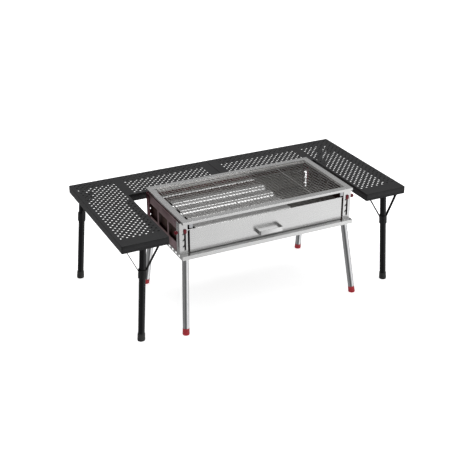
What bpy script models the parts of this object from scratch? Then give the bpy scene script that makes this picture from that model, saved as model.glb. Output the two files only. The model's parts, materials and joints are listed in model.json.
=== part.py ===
"""Charcoal grill standing inside its U-shaped folding table, at rest.

Lengths are in metres. +X runs along the grill's long side, +Z is up, and the drawer opens towards -Y.
The pieces are built round the middle of the grill; the last step moves the whole set so that the middle of
its footprint on the floor is the origin.
"""

import math

import bmesh
import bpy
from mathutils import Matrix, Vector

# Sizes of the grill
RIM_WIDTH = 0.720
RIM_DEPTH = 0.3628
RIM_TOP = 0.4444
RIM_DEEP = 0.0099
RIM_BAR = 0.024
NET_LEDGE = 0.008
END_LEDGE = 0.0005
NET_WIRE = 0.0032
BASE_TOP = 0.3085
BASE_DEEP = 0.016
FIREBOX_OUT = 0.006
FIREBOX_SETBACK = 0.0211
SHEET = 0.0015
POST_FLANGE = 0.033
SLOT_CHANNEL = 0.007
SLOT_NOTCH = 0.006
LIFT_TRAVEL = 0.060
LIFT_RADIUS = 0.0025
TRAY_DEEP = 0.0232
LINER_SETBACK = 0.0105
RIDGE_PITCH = 0.0745
RIDGE_RISE = 0.008
HANDLE_HALF = 0.050
GRILL_LEG_RADIUS = 0.0125
GRILL_LEG_INSET = 0.025
GRILL_FOOT_RADIUS = 0.0135
FRONT_SPLAY = 0.0310
BACK_SPLAY = 0.0441
FRONT_LEG_SHIFT = -0.0055

# Sizes of the table
ARM_GAP = 0.059
ARM_WIDTH = 0.181
BACK_GAP = 0.0363
BACK_WIDTH = 0.193
TABLE_SETBACK = 0.0129
TABLE_TOP = 0.410
TABLE_SKIRT = 0.0295
TABLE_SHEET = 0.002
TABLE_RETURN = 0.012
TABLE_CORNER = 0.003
TABLE_LEG_RADIUS = 0.0125
TABLE_FOOT_RADIUS = 0.01475
PIVOT_DROP = 0.019
PIVOT_RADIUS = 0.003
BRACE_WIDTH = 0.012

GAP = 0.0003

# Places worked out from the sizes
RIM_BOTTOM = RIM_TOP - RIM_DEEP
BASE_X = RIM_WIDTH / 2 + 0.0055
BASE_Y = RIM_DEPTH / 2 + 0.00085
BOX_X = RIM_WIDTH / 2 + FIREBOX_OUT
BOX_Y = RIM_DEPTH / 2 - FIREBOX_SETBACK
POST_BOTTOM = BASE_TOP + GAP
POST_TOP = RIM_BOTTOM - GAP
LIFT_Z = RIM_BOTTOM - 0.0365
LIFT_Y = BOX_Y - 0.008
BED_HALF_X = RIM_WIDTH / 2 - 0.060
BED_SEAM_X = 0.100
DRAWER_HALF = BOX_X - 0.041
ARM_X = RIM_WIDTH / 2 + ARM_GAP
TABLE_X = ARM_X + ARM_WIDTH
TABLE_FRONT = -RIM_DEPTH / 2 - TABLE_SETBACK
BACK_INNER = RIM_DEPTH / 2 + BACK_GAP
TABLE_BACK = BACK_INNER + BACK_WIDTH
PIVOT_Z = TABLE_TOP - PIVOT_DROP
BRACE_SPREAD = 0.395 * ARM_WIDTH
CORNERS = {
    "front_left": (-1, -1),
    "front_right": (1, -1),
    "back_left": (-1, 1),
    "back_right": (1, 1),
}
SIDES = {"left": -1, "right": 1}

for leftover in list(bpy.data.objects):
    bpy.data.objects.remove(leftover)
ROOT = bpy.data.objects.new("set_origin", None)
bpy.context.scene.collection.objects.link(ROOT)


def make_finish(name, colour, roughness, metallic):
    finish = bpy.data.materials.new(name)
    finish.use_nodes = True
    shader = finish.node_tree.nodes["Principled BSDF"]
    shader.inputs["Base Color"].default_value = (*colour, 1.0)
    shader.inputs["Roughness"].default_value = roughness
    shader.inputs["Metallic"].default_value = metallic
    return finish


STAINLESS = make_finish("stainless", (0.62, 0.62, 0.63), 0.30, 1.0)
TINTED_STEEL = make_finish("heat_tinted_steel", (0.22, 0.17, 0.15), 0.40, 1.0)
BRIGHT_TUBE = make_finish("bright_tube", (0.70, 0.71, 0.73), 0.12, 1.0)
NET_STEEL = make_finish("net_steel", (0.55, 0.55, 0.56), 0.30, 1.0)
GRATE_STEEL = make_finish("grate_steel", (0.20, 0.20, 0.20), 0.45, 1.0)
RED_RUBBER = make_finish("red_rubber", (0.45, 0.01, 0.02), 0.45, 0.0)
RED_PLASTIC = make_finish("red_plastic", (0.40, 0.01, 0.03), 0.25, 0.0)
BLACK_PAINT = make_finish("black_paint", (0.02, 0.02, 0.02), 0.35, 0.0)
BLACK_TUBE = make_finish("black_tube", (0.015, 0.015, 0.015), 0.30, 0.0)
BLACK_RUBBER = make_finish("black_rubber", (0.02, 0.02, 0.02), 0.60, 0.0)
ZINC = make_finish("zinc", (0.50, 0.51, 0.53), 0.35, 1.0)


def add_object(name, bm, finish=None, smooth=False):
    """Turn a bmesh into an object. One without a finish is only a shape for cutting or joining."""
    bmesh.ops.recalc_face_normals(bm, faces=bm.faces)
    mesh = bpy.data.meshes.new(name)
    bm.to_mesh(mesh)
    bm.free()
    if smooth:
        mesh.polygons.foreach_set("use_smooth", [True] * len(mesh.polygons))
        mesh.set_sharp_from_angle(angle=math.radians(40))
    made = bpy.data.objects.new(name, mesh)
    bpy.context.scene.collection.objects.link(made)
    made.parent = ROOT
    if finish:
        mesh.materials.append(finish)
    else:
        made.hide_render = True
        made.display_type = "WIRE"
    return made


def prism(name, outline, along, start, end, finish=None, smooth=False):
    """Carry a flat outline along one axis. The outline's two numbers are the other two axes, in X, Y, Z order."""
    axis = "XYZ".index(along)
    bm = bmesh.new()
    corners = []
    for first, second in outline:
        place = [first, second]
        place.insert(axis, start)
        corners.append(bm.verts.new(place))
    grown = bmesh.ops.extrude_face_region(bm, geom=[bm.faces.new(corners)])
    travel = Vector((0, 0, 0))
    travel[axis] = end - start
    moved = [item for item in grown["geom"] if isinstance(item, bmesh.types.BMVert)]
    bmesh.ops.translate(bm, vec=travel, verts=moved)
    return add_object(name, bm, finish, smooth)


def box(name, x, y, z, finish=None):
    """A block. Each of x, y and z is a pair of limits, in either order."""
    outline = [(x[0], y[0]), (x[1], y[0]), (x[1], y[1]), (x[0], y[1])]
    return prism(name, outline, "Z", min(z), max(z), finish)


def blocks(name, limits, finish=None):
    """Several separate blocks in one shape, each given as its x, y and z pairs."""
    bm = bmesh.new()
    for limit in limits:
        centre = [(low + high) / 2 for low, high in limit]
        size = [abs(high - low) for low, high in limit]
        matrix = Matrix.Translation(centre) @ Matrix.Diagonal((*size, 1))
        bmesh.ops.create_cube(bm, size=1, matrix=matrix)
    return add_object(name, bm, finish)


def rod(name, start, end, radius, finish=None, sides=24):
    """A round bar between two points."""
    start, end = Vector(start), Vector(end)
    turn = Vector((0, 0, 1)).rotation_difference(end - start).to_matrix().to_4x4()
    matrix = Matrix.Translation((start + end) / 2) @ turn
    bm = bmesh.new()
    bmesh.ops.create_cone(
        bm,
        cap_ends=True,
        segments=sides,
        radius1=radius,
        radius2=radius,
        depth=(end - start).length,
        matrix=matrix,
    )
    return add_object(name, bm, finish, smooth=True)


def round_corners(corners, radii, steps=4):
    """An outline with each corner swapped for an arc of its own radius; 0 leaves it sharp."""
    outline = []
    for index, radius in enumerate(radii):
        here = Vector(corners[index])
        if not radius:
            outline.append(tuple(here))
            continue
        to_last = (Vector(corners[index - 1]) - here).normalized()
        to_next = (Vector(corners[(index + 1) % len(corners)]) - here).normalized()
        half = to_last.angle(to_next) / 2
        centre = here + (to_last + to_next).normalized() * radius / math.sin(half)
        start = here + to_last * radius / math.tan(half) - centre
        end = here + to_next * radius / math.tan(half) - centre
        for step in range(steps + 1):
            share = step / steps
            outline.append(tuple(centre + start.slerp(end, share) * radius))
    return outline


def boolean(target, operation, others):
    for other in others:
        step = target.modifiers.new(other.name, "BOOLEAN")
        step.operation = operation
        step.solver = "EXACT"
        step.object = other
        other.parent = target
        other.hide_render = True
        other.display_type = "WIRE"


def cut(target, *others):
    boolean(target, "DIFFERENCE", others)


def join(target, *others):
    boolean(target, "UNION", others)


def hang_on_pivot(name, location, members):
    """Put an empty on a joint's axis and let the pieces that move together follow it."""
    pivot = bpy.data.objects.new(name, None)
    bpy.context.scene.collection.objects.link(pivot)
    pivot.parent = ROOT
    pivot.location = location
    for member in members:
        member.parent = pivot
        member.matrix_parent_inverse = Matrix.Translation(location).inverted()


def build_base():
    """Four folded rails: the front and back webs run the full width, the side rails fit between them."""
    low, inner = BASE_TOP - BASE_DEEP, BASE_TOP - SHEET
    reach_x, reach_y = BASE_X - SHEET - GAP, BASE_Y - SHEET - GAP
    flange = 0.028
    for name, side in (("base_front_rail", -1), ("base_back_rail", 1)):
        web = (side * (BASE_Y - SHEET), side * BASE_Y)
        rail = box(name, (-BASE_X, BASE_X), web, (low, BASE_TOP), STAINLESS)
        flange_y = (side * (BASE_Y - SHEET / 2), side * (BASE_Y - flange))
        join(rail, box(name + "_flange", (-reach_x, reach_x), flange_y, (inner, BASE_TOP)))
    for name, side in (("base_left_rail", -1), ("base_right_rail", 1)):
        web = (side * (BASE_X - SHEET), side * BASE_X)
        rail = box(name, web, (-reach_y, reach_y), (low, BASE_TOP), STAINLESS)
        flange_x = (side * (BASE_X - SHEET / 2), side * (BASE_X - 0.055))
        flange_y = (flange + GAP - BASE_Y, BASE_Y - flange - GAP)
        join(rail, box(name + "_flange", flange_x, flange_y, (inner, BASE_TOP)))
        through = (min(web) - 0.01, max(web) + 0.01)
        vents = []
        for step in range(-5, 6):
            middle = step * 0.030
            vents.append((through, (middle - 0.0065, middle + 0.0065), (low + 0.004, low + 0.012)))
        cut(rail, blocks(name + "_vents", vents))


def build_grill_leg(name, top, foot):
    """A splayed tube under one corner of the base, and the rubber cap it stands on."""
    top, foot = Vector(top), Vector(foot)
    up = (top - foot).normalized()
    leg = rod("grill_leg_" + name, foot + up * 0.008, top, GRILL_LEG_RADIUS, BRIGHT_TUBE)
    cut(leg, rod("grill_leg_bore_" + name, foot - up * 0.01, top + up * 0.01, GRILL_LEG_RADIUS - 0.0012))
    cap = rod("grill_foot_" + name, foot - up * 0.01, foot + up * 0.0245, GRILL_FOOT_RADIUS, RED_RUBBER)
    cut(
        cap,
        rod("grill_foot_socket_" + name, foot + up * 0.0077, foot + up * 0.05, GRILL_LEG_RADIUS + GAP),
        box("grill_foot_floor_" + name, (foot.x - 0.05, foot.x + 0.05), (foot.y - 0.05, foot.y + 0.05), (-0.05, 0)),
    )


def build_grill_legs():
    """The feet stand further out than the base, and each top sits clear of the rail's web.

    The front pair is screwed in a little towards -X of the middle of its corners.
    """
    top_z = BASE_TOP - SHEET - GAP - 0.0026
    for name, (side, end) in CORNERS.items():
        if end < 0:
            splay, foot_out, shift, set_in = FRONT_SPLAY, 0.0015, FRONT_LEG_SHIFT, 0.0196
        else:
            splay, foot_out, shift = BACK_SPLAY, -0.0055, 0
            set_in = GRILL_LEG_RADIUS + SHEET + 0.0008 + 1.15 * BASE_DEEP * splay / (BASE_TOP - BASE_DEEP)
        top = (side * (BASE_X - GRILL_LEG_INSET) + shift, end * (BASE_Y - set_in), top_z)
        foot = (side * (BASE_X + foot_out) + shift, end * (BASE_Y + splay), 0)
        build_grill_leg(name, top, foot)


def zigzag(channel_x):
    """The height slot's outline in X and Z: a straight channel with three notches falling away to -X."""
    left, right = channel_x - SLOT_CHANNEL / 2, channel_x + SLOT_CHANNEL / 2
    low, high = LIFT_Z - LIFT_TRAVEL - 0.0162, LIFT_Z + 0.0075
    outline = [(right, low), (right, high), (left, high)]
    for step in range(3):
        top = high - 0.010 - step * 0.025
        outline += [(left, top), (left - SLOT_NOTCH, top - 0.005), (left - SLOT_NOTCH, top - 0.0115), (left, top - 0.0065)]
    return outline + [(left, low)]


def channel_centre(side):
    return side * (RIM_WIDTH / 2 - 0.013) + 0.003


def build_posts():
    """Corner angles between base and rim. The face holds the zigzag slot, the side the rod's straight slot."""
    for name, (side, end) in CORNERS.items():
        outer, inner = side * BOX_X, side * (BOX_X - SHEET)
        face, behind = end * BOX_Y, end * (BOX_Y - SHEET)
        edge, depth = side * (BOX_X - POST_FLANGE), end * (BOX_Y - 0.028)
        outline = [(edge, face), (outer, face), (outer, depth), (inner, depth), (inner, behind), (edge, behind)]
        post = prism("corner_post_" + name, outline, "Z", POST_BOTTOM, POST_TOP, STAINLESS)
        slot = zigzag(channel_centre(side))
        cut(
            post,
            prism("post_slot_" + name, slot, "Y", face + end * 0.005, behind - end * 0.001),
            box(
                "post_side_slot_" + name,
                (outer + side * 0.005, inner - side * 0.001),
                (end * (LIFT_Y - 0.0035), end * (LIFT_Y + 0.0035)),
                (LIFT_Z - LIFT_TRAVEL - 0.004, LIFT_Z + 0.004),
            ),
        )


def windows(count, half_length, divider, margin):
    """Limits of equal windows side by side along one line centred on 0."""
    each = (2 * (half_length - margin) - divider * (count - 1)) / count
    starts = [-half_length + margin + step * (each + divider) for step in range(count)]
    return [(start, start + each) for start in starts]


def build_panels():
    """Thin walls between the posts. Each side is double: a skin with windows, and a plain liner behind it."""
    window_z = (RIM_BOTTOM - 0.0895, RIM_BOTTOM - 0.0345)
    height = (POST_BOTTOM, POST_TOP)
    half = LIFT_Y - 0.005
    for name, side in SIDES.items():
        x = (side * (BOX_X - SHEET - GAP), side * (BOX_X - 2 * SHEET - GAP))
        panel = box("side_panel_" + name, x, (-half, half), height, TINTED_STEEL)
        through = (min(x) - 0.01, max(x) + 0.01)
        cut(panel, blocks("side_windows_" + name, [(through, y, window_z) for y in windows(3, half, 0.013, 0.0085)]))
        liner_x = (side * (BOX_X - LINER_SETBACK), side * (BOX_X - LINER_SETBACK - SHEET))
        box("side_liner_" + name, liner_x, (-half, half), height, TINTED_STEEL)
    half = BOX_X - POST_FLANGE - GAP
    box("back_panel", (-half, half), (BOX_Y - SHEET, BOX_Y), height, TINTED_STEEL)


def build_rim():
    """The cooking rim is one folded section carried round four mitred corners. Its long sides have a net ledge."""
    top, low, wall = RIM_TOP, RIM_BOTTOM, RIM_BAR - SHEET
    profile = [
        (0, low),
        (0, top),
        (RIM_BAR, top),
        (RIM_BAR, low + SHEET),
        (RIM_BAR + NET_LEDGE, low + SHEET),
        (RIM_BAR + NET_LEDGE, low),
        (wall, low),
        (wall, top - SHEET),
        (SHEET, top - SHEET),
        (SHEET, low),
    ]
    bm = bmesh.new()
    rings = []
    for x, y in ((-1, -1), (1, -1), (1, 1), (-1, 1)):
        ring = []
        for inward, z in profile:
            end_inward = min(inward, RIM_BAR + END_LEDGE)
            ring.append(bm.verts.new((x * (RIM_WIDTH / 2 - end_inward), y * (RIM_DEPTH / 2 - inward), z)))
        rings.append(ring)
    for index, ring in enumerate(rings):
        following = rings[(index + 1) % 4]
        for point in range(len(profile)):
            after = (point + 1) % len(profile)
            bm.faces.new((ring[point], following[point], following[after], ring[after]))
    add_object("top_rim", bm, STAINLESS)
    for name, side in SIDES.items():
        x = (side * (BOX_X - 0.052), side * (BOX_X - 0.038))
        y = (-BOX_Y - 0.0045, -BOX_Y - 0.0030)
        box("rim_bracket_" + name, x, y, (RIM_BOTTOM - 0.0235, POST_TOP), ZINC)


def lattice(name, x, y, z, counts, bar, finish):
    """A flat grid: a plate with rows of equal rectangular openings."""
    plate = box(name, x, y, z, finish)
    across = [(limits[1] - limits[0] - bar) / count for limits, count in zip((x, y), counts)]
    holes = []
    for column in range(counts[0]):
        for row in range(counts[1]):
            low_x = x[0] + bar + column * across[0]
            low_y = y[0] + bar + row * across[1]
            hole = ((low_x, low_x + across[0] - bar), (low_y, low_y + across[1] - bar), (z[0] - 0.01, z[1] + 0.01))
            holes.append(hole)
    cut(plate, blocks(name + "_holes", holes))
    return plate


def build_net():
    seat_x, seat_y = RIM_WIDTH / 2 - RIM_BAR, RIM_DEPTH / 2 - RIM_BAR
    low = RIM_BOTTOM + SHEET + GAP
    net_x = (-seat_x + 0.0035, seat_x - 0.0005)
    net_y = (-seat_y + 0.0006, seat_y - 0.0006)
    net = lattice("cooking_net", net_x, net_y, (low, low + NET_WIRE), (14, 7), 0.004, NET_STEEL)
    hang_on_pivot("net_lift", (0, 0, low), [net])


def build_drawer():
    """Ash and charcoal drawer: a shallow tray on the base flanges, a tall front panel and a bent-bar pull."""
    half = DRAWER_HALF - 0.003
    front = -BOX_Y + SHEET + GAP
    back = BOX_Y - 0.0055
    low = BASE_TOP + GAP
    tray = box("drawer_tray", (-half, half), (front, back), (low, low + TRAY_DEEP), STAINLESS)
    wall = 0.0012
    hollow = box(
        "drawer_hollow",
        (-half + wall, half - wall),
        (front + wall, back - wall),
        (low + wall, low + TRAY_DEEP + 0.01),
    )
    cut(tray, hollow)
    panel_z = (BASE_TOP + 0.0033, RIM_BOTTOM - 0.0312)
    panel = box("drawer_front", (-DRAWER_HALF, DRAWER_HALF), (-BOX_Y, -BOX_Y + SHEET), panel_z, STAINLESS)
    thick = 0.002
    out, root, reach = -BOX_Y - 0.028, -BOX_Y - GAP, HANDLE_HALF
    corners = [
        (-reach, root),
        (-reach, out),
        (reach, out),
        (reach, root),
        (reach - thick, root),
        (reach - thick, out + thick),
        (-reach + thick, out + thick),
        (-reach + thick, root),
    ]
    outline = round_corners(corners, (0, 0.006, 0.006, 0, 0, 0.004, 0.004, 0))
    handle = prism("drawer_handle", outline, "Z", BASE_TOP + 0.0220, BASE_TOP + 0.0390, STAINLESS, smooth=True)
    hang_on_pivot("drawer_slide", (0, -BOX_Y, low), [tray, panel, handle])


def ridged_outline(reach, base):
    """The plate's cross-section in Y and Z: a thin sheet with three flat-topped ridges."""
    top = [(-reach, base)]
    for middle in (-RIDGE_PITCH, 0, RIDGE_PITCH):
        for from_middle, rise in ((-0.020, 0), (-0.011, RIDGE_RISE), (0.011, RIDGE_RISE), (0.020, 0)):
            top.append((middle + from_middle, base + rise))
    top.append((reach, base))
    return [(y, z + SHEET) for y, z in top] + [(y, z) for y, z in reversed(top)]


def build_knob(name, side, end):
    """A ball on the end of a lifting rod, outside the side wall, with a blind hole for the rod."""
    centre = Vector((side * (BOX_X + 0.0095), end * LIFT_Y, LIFT_Z))
    bm = bmesh.new()
    turn = Matrix.Translation(centre) @ Matrix.Rotation(math.radians(90), 4, "Y")
    bmesh.ops.create_uvsphere(bm, u_segments=20, v_segments=12, radius=0.00775, matrix=turn)
    knob = add_object("lift_knob_" + name, bm, RED_PLASTIC, smooth=True)
    hole_start = centre - Vector((side * 0.012, 0, 0))
    hole_end = centre - Vector((side * 0.003, 0, 0))
    cut(knob, rod("lift_knob_hole_" + name, hole_start, hole_end, LIFT_RADIUS + GAP, sides=16))
    return knob


def build_button(name, side, end):
    """A rounded tab on the face of a post. Its neck reaches through the zigzag slot towards the rod."""
    middle = channel_centre(side)
    corners = [
        (middle - 0.006, LIFT_Z - 0.007),
        (middle + 0.006, LIFT_Z - 0.007),
        (middle + 0.006, LIFT_Z + 0.011),
        (middle - 0.006, LIFT_Z + 0.011),
    ]
    outline = round_corners(corners, (0.004,) * 4)
    inside, outside = end * (BOX_Y + GAP), end * (BOX_Y + 0.0043)
    button = prism("slot_button_" + name, outline, "Y", outside, inside, RED_PLASTIC, smooth=True)
    neck_start = (middle, end * (BOX_Y + 0.002), LIFT_Z)
    neck_end = (middle, end * (LIFT_Y + LIFT_RADIUS + GAP), LIFT_Z)
    join(button, rod("slot_neck_" + name, neck_start, neck_end, 0.0029, sides=16))
    return button


def build_charcoal_bed():
    """Two rods across the firebox carry a ridged plate and a mesh grate, and lift them together."""
    seat = LIFT_Z + LIFT_RADIUS + GAP
    reach = BOX_Y - 0.0027
    outline = ridged_outline(reach, seat)
    plate = prism("charcoal_plate", outline, "X", -BED_HALF_X, BED_SEAM_X - GAP, STAINLESS)
    grate = lattice(
        "charcoal_grate",
        (BED_SEAM_X + GAP, BED_HALF_X),
        (-reach, reach),
        (seat, seat + 0.002),
        (5, 8),
        0.005,
        GRATE_STEEL,
    )
    members = [plate, grate]
    for name, end, past_wall in (("front", -1, 0.006), ("back", 1, 0.003)):
        ends = [(side * (BOX_X + past_wall), end * LIFT_Y, LIFT_Z) for side in (-1, 1)]
        members.append(rod("lift_rod_" + name, *ends, LIFT_RADIUS, STAINLESS, sides=16))
    for name, side in SIDES.items():
        members.append(build_knob("front_" + name, side, -1))
    for name, (side, end) in CORNERS.items():
        members.append(build_button(name, side, end))
    hang_on_pivot("bed_lift", (0, 0, LIFT_Z), members)


def half_outline(side, inset):
    """One half of the U-shaped top, seen from above, with its edge moved in by the inset."""
    seam = 0.0005
    corners = [
        (TABLE_X - inset, TABLE_FRONT + inset),
        (TABLE_X - inset, TABLE_BACK - inset),
        (seam + inset, TABLE_BACK - inset),
        (seam + inset, BACK_INNER + inset),
        (ARM_X + inset, BACK_INNER + inset),
        (ARM_X + inset, TABLE_FRONT + inset),
    ]
    outer = TABLE_CORNER - inset
    radii = (outer, outer, 0, 0, 0, outer)
    return [(side * x, y) for x, y in round_corners(corners, radii)]


def build_table_top(name, side):
    """A folded steel pan, open below. Its long skirts are turned in, and a lug holds the back leg's pivot rod."""
    low = TABLE_TOP - TABLE_SKIRT
    pan = prism("table_top_" + name, half_outline(side, 0), "Z", low, TABLE_TOP, BLACK_PAINT)
    hollow = prism(
        "table_hollow_" + name,
        half_outline(side, TABLE_SHEET),
        "Z",
        low - 0.01,
        TABLE_TOP - TABLE_SHEET,
    )
    cut(pan, hollow)
    lug_x = (side * (TABLE_X - 0.063), side * (TABLE_X - 0.033))
    lug_y = (TABLE_BACK - 0.1047, TABLE_BACK - 0.1027)
    join(pan, box("table_lug_" + name, lug_x, lug_y, (low + 0.0025, TABLE_TOP - TABLE_SHEET / 2)))
    overlap = TABLE_SHEET / 2
    arm_y = (TABLE_FRONT + TABLE_CORNER, BACK_INNER + TABLE_RETURN)
    outer_y = (TABLE_FRONT + TABLE_CORNER, TABLE_BACK - TABLE_CORNER)
    returns = (
        (side * (ARM_X + overlap), side * (ARM_X + TABLE_RETURN), arm_y),
        (side * (TABLE_X - TABLE_RETURN), side * (TABLE_X - overlap), outer_y),
        (side * 0.0200, side * (ARM_X + 2 * overlap), (BACK_INNER + overlap, BACK_INNER + TABLE_RETURN)),
    )
    for number, (start, end, y) in enumerate(returns):
        join(pan, box(f"table_return_{name}_{number}", (start, end), y, (low, low + SHEET)))
    return pan


def build_fold_hinge():
    """A small hinge low on the seam between the two halves: two leaves with interleaved knuckles and a pin."""
    middle = (BACK_INNER + TABLE_BACK) / 2
    radius = 0.0045
    axis_z = TABLE_TOP - TABLE_SKIRT - 0.0005 - radius
    knuckle, space = 0.0196, 0.0004
    made = []
    for name, side, places in (("left", -1, (-2, 0, 2)), ("right", 1, (-1, 1))):
        x = (side * (0.0005 + TABLE_SHEET + GAP), side * (0.0020 + TABLE_SHEET + GAP))
        half = 2.5 * (knuckle + space)
        leaf = box("fold_hinge_leaf_" + name, x, (middle - half, middle + half), (axis_z, TABLE_TOP - 0.012), ZINC)
        gaps, knuckles = [], []
        for place in range(-2, 3):
            centre = middle + place * (knuckle + space)
            if place in places:
                ends = [(0, centre + half_way * knuckle, axis_z) for half_way in (-0.5, 0.5)]
                knuckles.append(rod(f"hinge_knuckle_{name}_{place + 2}", *ends, radius, sides=16))
            else:
                y = (centre - knuckle / 2 - space, centre + knuckle / 2 + space)
                gaps.append(((-0.02, 0.02), y, (axis_z - 0.02, axis_z + radius + 0.0002)))
        cut(leaf, blocks("hinge_gaps_" + name, gaps))
        join(leaf, *knuckles)
        pin_ends = [(0, middle + end * 0.08, axis_z) for end in (-1, 1)]
        cut(leaf, rod("hinge_bore_" + name, *pin_ends, 0.0020 + GAP, sides=16))
        made.append(leaf)
    pin_ends = [(0, middle + end * 0.052, axis_z) for end in (-1, 1)]
    made.append(rod("fold_hinge_pin", *pin_ends, 0.0020, ZINC, sides=16))
    return made


def build_strap(name, top, bottom, across):
    """One flat arm of a brace, its width square to the brace's plane."""
    along = (top - bottom).normalized()
    thick = along.cross(across).normalized()
    length = (top - bottom).length + 0.0075
    turn = Matrix((thick, across, along)).transposed().to_4x4()
    middle = bottom + along * length / 2
    bm = bmesh.new()
    scale = Matrix.Diagonal((0.002, BRACE_WIDTH, length, 1))
    bmesh.ops.create_cube(bm, size=1, matrix=Matrix.Translation(middle) @ turn @ scale)
    return add_object(name, bm)


def build_table_leg(name, pivot, foot, axis, spreads, rod_ends):
    """A folding leg with its cap, its two-armed brace and the rod they turn on."""
    pivot, foot, axis = Vector(pivot), Vector(foot), Vector(axis)
    down = (foot - pivot).normalized()
    across = axis.cross(down).normalized()
    pin_ends = [pivot + axis * reach for reach in rod_ends]
    pin = rod("table_pivot_rod_" + name, *pin_ends, PIVOT_RADIUS, BLACK_TUBE, sides=16)
    bore_ends = [pivot + axis * reach for reach in (-0.12, 0.12)]
    bore = PIVOT_RADIUS + GAP

    top = pivot - down * 0.010
    leg = rod("table_leg_" + name, top, foot - down * 0.008, TABLE_LEG_RADIUS, BLACK_TUBE)
    inner = TABLE_LEG_RADIUS - 0.0012
    cut(
        leg,
        rod("table_leg_bore_" + name, top - down * 0.01, foot + down * 0.01, inner),
        rod("table_leg_pin_hole_" + name, *bore_ends, bore, sides=16),
    )

    cap = rod("table_foot_" + name, foot + down * 0.01, foot - down * 0.030, TABLE_FOOT_RADIUS, BLACK_RUBBER)
    socket = TABLE_LEG_RADIUS + GAP
    cut(
        cap,
        rod("table_foot_socket_" + name, foot - down * 0.0077, foot - down * 0.06, socket),
        box("table_foot_floor_" + name, (foot.x - 0.05, foot.x + 0.05), (foot.y - 0.05, foot.y + 0.05), (-0.05, 0)),
    )

    collar = (pivot + down * 0.099, pivot + down * 0.133)
    brace = rod("table_brace_" + name, *collar, 0.0157, BLACK_PAINT)
    straps = []
    for number, spread in enumerate(spreads):
        low = pivot + down * 0.106 + axis * math.copysign(0.0138, spread)
        straps.append(build_strap(f"brace_strap_{name}_{number}", pivot + axis * spread, low, across))
    join(brace, *straps)
    cut(
        brace,
        rod("brace_leg_hole_" + name, pivot - down * 0.02, pivot + down * 0.2, socket),
        rod("brace_pin_hole_" + name, *bore_ends, bore, sides=16),
    )
    hang_on_pivot("table_leg_pivot_" + name, pivot, [pin, leg, cap, brace])


def build_table_legs():
    """The front legs turn about the arm's width and the back legs about its depth."""
    arm_middle = (ARM_X + TABLE_X) / 2
    inside = ARM_WIDTH / 2 - TABLE_SHEET - GAP
    for name, side in SIDES.items():
        pivot = (side * (arm_middle + 0.0025), TABLE_FRONT + 0.023, PIVOT_Z)
        foot = (pivot[0] + side * 0.026, pivot[1] - 0.004, 0)
        rod_ends = (-inside - 0.0025, inside - 0.0025)
        spreads = (-BRACE_SPREAD, BRACE_SPREAD)
        build_table_leg("front_" + name, pivot, foot, (side, 0, 0), spreads, rod_ends)
        pivot = (side * (TABLE_X - 0.048), TABLE_BACK - 0.022, PIVOT_Z)
        foot = (pivot[0] + side * 0.036, pivot[1] + 0.003, 0)
        rod_ends = (-0.0807 + GAP, 0.020 - GAP)
        build_table_leg("back_" + name, pivot, foot, (0, 1, 0), (-BRACE_SPREAD, 0.0155), rod_ends)


def build_table():
    members = [build_table_top(name, side) for name, side in SIDES.items()]
    members += build_fold_hinge()
    hang_on_pivot("table_slide", (0, TABLE_FRONT, 0), members)
    build_table_legs()


def centre_on_floor():
    """Move the set so that the middle of its footprint is the origin, and print its size."""
    bpy.context.view_layer.update()
    graph = bpy.context.evaluated_depsgraph_get()
    points = []
    for made in bpy.context.scene.objects:
        if made.type == "MESH" and not made.hide_render:
            seen = made.evaluated_get(graph)
            points += [seen.matrix_world @ Vector(corner) for corner in seen.bound_box]
    low = Vector([min(point[axis] for point in points) for axis in range(3)])
    high = Vector([max(point[axis] for point in points) for axis in range(3)])
    ROOT.location = (-(low.x + high.x) / 2, -(low.y + high.y) / 2, -low.z)
    bpy.context.view_layer.update()
    print("size", [round(side, 4) for side in high - low], "moved by", [round(step, 5) for step in ROOT.location])


build_base()
build_grill_legs()
build_posts()
build_panels()
build_rim()
build_net()
build_drawer()
build_charcoal_bed()
build_table()
centre_on_floor()
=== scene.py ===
# %% [markdown]
# # A charcoal grill standing inside its folding table
#
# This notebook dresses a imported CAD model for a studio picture. The CAD model already holds every piece at
# its true size and place, and it knows what turns or slides. What it lacks is surface: rounded edges, woven
# wire, grain in the steel and the dull skin of powder paint. Those are made here, piece by piece.
#
# The first cell loads the model as a fixed frame. Everything after it takes its places from that frame, so
# a piece that is made here always lands where the solid one was.

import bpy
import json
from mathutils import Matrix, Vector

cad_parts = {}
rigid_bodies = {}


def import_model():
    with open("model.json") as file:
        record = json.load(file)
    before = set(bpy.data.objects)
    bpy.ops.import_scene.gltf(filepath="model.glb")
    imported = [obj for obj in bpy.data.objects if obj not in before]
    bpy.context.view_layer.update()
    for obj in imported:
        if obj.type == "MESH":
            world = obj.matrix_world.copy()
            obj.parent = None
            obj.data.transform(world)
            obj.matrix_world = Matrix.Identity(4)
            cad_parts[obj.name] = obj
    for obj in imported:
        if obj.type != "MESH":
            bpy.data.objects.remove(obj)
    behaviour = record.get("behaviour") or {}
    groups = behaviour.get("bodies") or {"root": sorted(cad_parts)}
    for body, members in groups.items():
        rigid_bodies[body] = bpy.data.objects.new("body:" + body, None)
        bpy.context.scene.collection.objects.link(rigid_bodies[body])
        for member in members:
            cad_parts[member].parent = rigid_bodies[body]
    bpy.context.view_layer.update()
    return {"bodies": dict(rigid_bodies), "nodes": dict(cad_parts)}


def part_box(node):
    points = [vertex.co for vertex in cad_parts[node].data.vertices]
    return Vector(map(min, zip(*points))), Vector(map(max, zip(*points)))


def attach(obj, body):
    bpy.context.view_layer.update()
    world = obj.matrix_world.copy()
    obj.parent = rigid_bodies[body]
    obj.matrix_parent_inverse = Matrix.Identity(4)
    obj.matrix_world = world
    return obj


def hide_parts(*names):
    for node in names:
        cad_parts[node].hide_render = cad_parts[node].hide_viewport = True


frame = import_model()

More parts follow.
